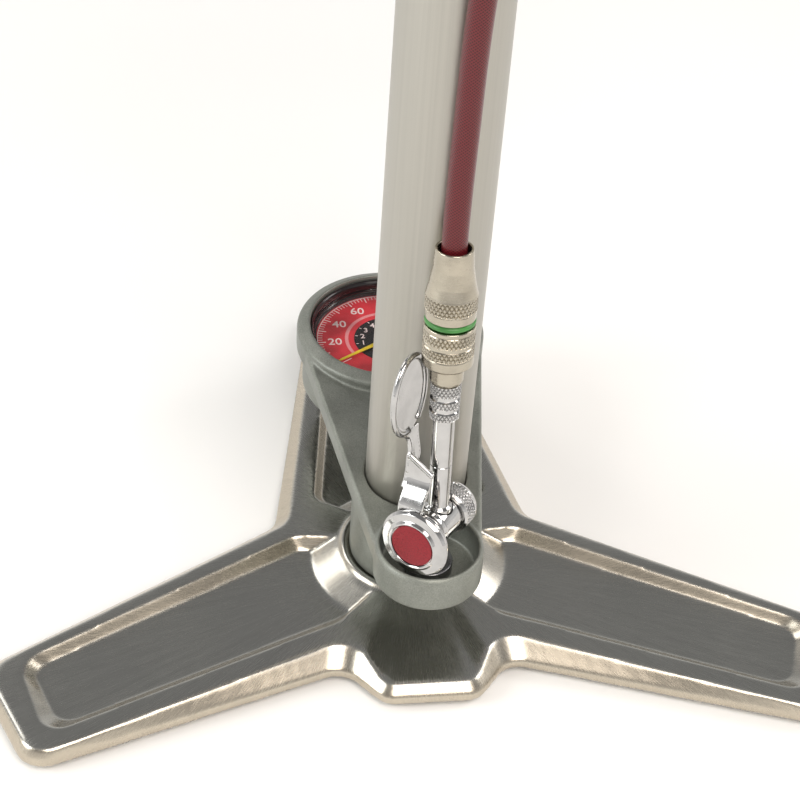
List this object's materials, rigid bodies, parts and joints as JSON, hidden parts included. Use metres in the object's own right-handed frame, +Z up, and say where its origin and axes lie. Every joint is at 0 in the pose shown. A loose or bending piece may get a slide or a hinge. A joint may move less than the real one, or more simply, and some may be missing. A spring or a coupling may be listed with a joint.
{
  "type": "floor bicycle pump",
  "caption": "Upright floor pump with a cast three-legged base, a barrel, a dial gauge in the body, a T handle and a hose whose lever chuck docks in a cup.",
  "frame": {"origin": "on the floor, under the middle of the base's footprint", "axes": "+Z up along the barrel, +X to the right and -Y towards the chuck dock"},
  "size_m": [0.3224, 0.2582, 0.6849],
  "materials": {
    "cast_base": "brushed dark nickel-grey casting with a light satin sheen",
    "body_finish": "satin grey-green anodised casting",
    "barrel_finish": "fine brushed silver anodised tube",
    "chrome": "polished chrome",
    "warm_nickel": "satin warm nickel plating",
    "steel": "plain machined steel",
    "brass": "machined brass",
    "rubber": "matt black rubber",
    "leather": "oiled brown leather",
    "wood": "oiled red-brown hardwood",
    "black_gloss": "glossy black plastic",
    "dial_print": "red printed dial",
    "needle_paint": "yellow paint",
    "clear_lens": "clear polished lens",
    "red_anodised": "dark red anodised disc",
    "hose_red": "red braid under a clear cover",
    "green_rubber": "green rubber ring",
    "magnet": "nickel-plated magnet"
  },
  "bodies": {
    "stand": {"base_casting": "cast_base", "foot_pad_left": "rubber", "foot_pad_right": "rubber", "foot_pad_back": "rubber", "base_bolt": "steel", "base_washer": "steel", "body_casting": "body_finish", "dock_magnet": "magnet", "valve_seat": "brass", "valve_spring": "steel", "barrel_tube": "barrel_finish", "top_cap": "body_finish", "rod_bush": "brass", "rod_wiper": "rubber", "hose_saddle": "body_finish", "gauge_can": "steel", "gauge_dial": "dial_print", "gauge_bezel": "black_gloss", "gauge_lens": "clear_lens", "gauge_frame": "brass", "bourdon_tube": "brass", "gauge_stem": "brass", "hose_port_elbow": "warm_nickel", "hose_ferrule": "warm_nickel", "hose": "hose_red", "chuck_stem": "chrome", "chuck_head": "chrome", "chuck_seal": "rubber"},
    "plunger": {"piston_cup": "leather"},
    "handle": {"piston_rod": "chrome", "piston_nut": "steel", "piston_washer": "steel", "piston_head": "brass", "rod_bumper": "rubber", "handle_hub": "barrel_finish", "handle_grub_screw": "steel", "handle_grip_left": "wood", "handle_grip_right": "wood", "handle_end_cap_left": "barrel_finish", "handle_end_cap_right": "barrel_finish", "handle_bolt_left": "steel", "handle_bolt_right": "steel"},
    "check_valve": {"valve_ball": "steel"},
    "needle": {"gauge_needle": "needle_paint", "gauge_spindle": "black_gloss"},
    "sector": {"gauge_sector": "brass", "gauge_sector_pin": "steel"},
    "coupler": {"coupler_shell": "warm_nickel", "coupler_ring": "green_rubber", "coupler_core": "warm_nickel"},
    "collar": {"coupler_collar": "warm_nickel"},
    "knob": {"chuck_knob": "chrome"},
    "lever": {"chuck_lever": "chrome"},
    "clamp_disc": {"chuck_disc": "chrome", "chuck_insert": "red_anodised"}
  },
  "joints": [
    {"name": "handle_stroke", "type": "slide", "parent": "stand", "child": "plunger", "axis": [0, 0, 1], "range_m": [0, 0.5]},
    {"name": "handle_turn", "type": "hinge", "parent": "plunger", "child": "handle", "pos_m": [0, -0.03795, 0.668], "axis": [0, 0, 1], "continuous": true},
    {"name": "check_valve_lift", "type": "slide", "parent": "stand", "child": "check_valve", "axis": [0, 0, -1], "range_m": [0, 0.0022], "stiffness_N_per_m": 40, "springref_m": -0.001, "deforming": ["valve_spring"]},
    {"name": "needle_turn", "type": "hinge", "parent": "stand", "child": "needle", "pos_m": [0, 0.04415, 0.053], "axis": [0, 0, -1], "range_deg": [0, 246], "stiffness_Nm_per_rad": 0.0005},
    {"name": "sector_turn", "type": "hinge", "parent": "stand", "child": "sector", "pos_m": [-0.009, 0.05015, 0.0436], "axis": [0, 0, 1], "range_deg": [0, 72.89]},
    {"name": "coupler_swivel", "type": "hinge", "parent": "stand", "child": "coupler", "pos_m": [0.00166, -0.06922, 0.13343], "axis": [-0.0063, 0.1018, 0.9948], "continuous": true},
    {"name": "collar_pull", "type": "slide", "parent": "coupler", "child": "collar", "axis": [0.0063, -0.1018, -0.9948], "range_m": [0, 0.003], "stiffness_N_per_m": 400, "springref_m": -0.002},
    {"name": "knob_turn", "type": "hinge", "parent": "stand", "child": "knob", "pos_m": [0.00828, -0.06853, 0.06304], "axis": [0.6179, 0.7825, -0.0762], "continuous": true},
    {"name": "lever_turn", "type": "hinge", "parent": "stand", "child": "lever", "pos_m": [-0.00649, -0.08723, 0.06486], "axis": [-0.6179, -0.7825, 0.0762], "range_deg": [0, 80]},
    {"name": "clamp_draw", "type": "slide", "parent": "stand", "child": "clamp_disc", "axis": [-0.6179, -0.7825, 0.0762], "range_m": [0, 0.0008]}
  ],
  "couplings": [
    {"joint": "sector_turn", "follows": "needle_turn", "ratio": 0.2963},
    {"joint": "clamp_draw", "follows": "lever_turn", "m_per_rad": 0.000573}
  ]
}
